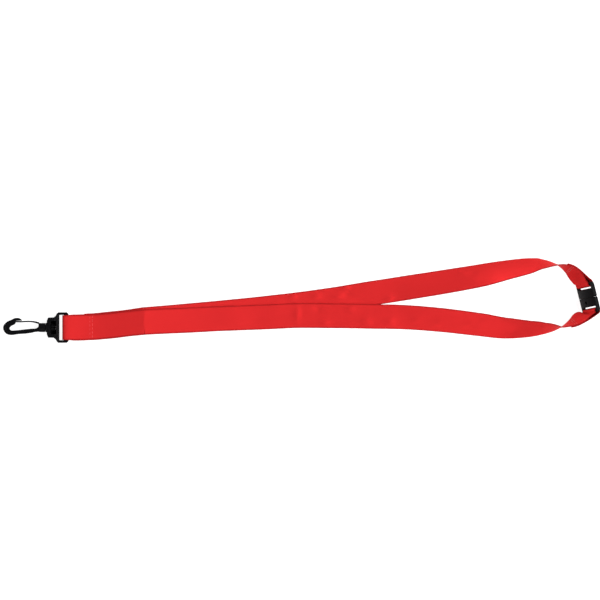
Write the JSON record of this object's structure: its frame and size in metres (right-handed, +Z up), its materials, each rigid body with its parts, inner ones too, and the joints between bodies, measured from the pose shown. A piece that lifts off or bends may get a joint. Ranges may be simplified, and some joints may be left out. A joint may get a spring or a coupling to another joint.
{
  "type": "neck lanyard",
  "caption": "Flat red satin neck lanyard with a breakaway buckle at the neck and a swivelling black plastic snap hook.",
  "frame": {"origin": "centre of the swivel base's flat underside, below the swivel axis", "axes": "+X along the swivel axis towards the neck end, +Y across the ribbon towards the upper leg, +Z up from the table"},
  "size_m": [0.4861, 0.0694, 0.0235],
  "materials": {
    "red_satin": "satin ribbon",
    "thread": "twisted thread",
    "black_plastic": "semi-gloss moulded acetal",
    "buckle_plastic": "fine-textured moulded acetal"
  },
  "bodies": {
    "strap": {"upper_ribbon": "red_satin", "lower_ribbon": "red_satin", "buckle_plug": "buckle_plastic", "hook_seam_outer": "thread", "hook_seam_inner": "thread", "plug_seam_outer": "thread", "plug_seam_inner": "thread"},
    "socket_half": {"buckle_socket": "buckle_plastic", "lower_ribbon_end": "red_satin", "socket_seam_outer": "thread", "socket_seam_inner": "thread"},
    "base": {"swivel_base": "black_plastic"},
    "hook": {"hook": "black_plastic"},
    "gate": {"hook_gate": "black_plastic"}
  },
  "joints": [
    {"name": "base_flop", "type": "hinge", "parent": "strap", "child": "base", "pos_m": [0.0113, 0, 0.004], "axis": [0, 1, 0], "range_deg": [-90, 90]},
    {"name": "hook_swivel", "type": "hinge", "parent": "base", "child": "hook", "pos_m": [-0.0054, 0, 0.004], "axis": [1, 0, 0], "continuous": true},
    {"name": "gate_flex", "type": "hinge", "parent": "hook", "child": "gate", "pos_m": [-0.0114, 0.00375, 0.004], "axis": [0, 0, 1], "range_deg": [0, 18], "stiffness_Nm_per_rad": 0.02, "springref_deg": -2.86},
    {"name": "buckle_release", "type": "slide", "parent": "strap", "child": "socket_half", "axis": [0.2425, -0.9701, 0], "range_m": [0, 0.014]}
  ]
}
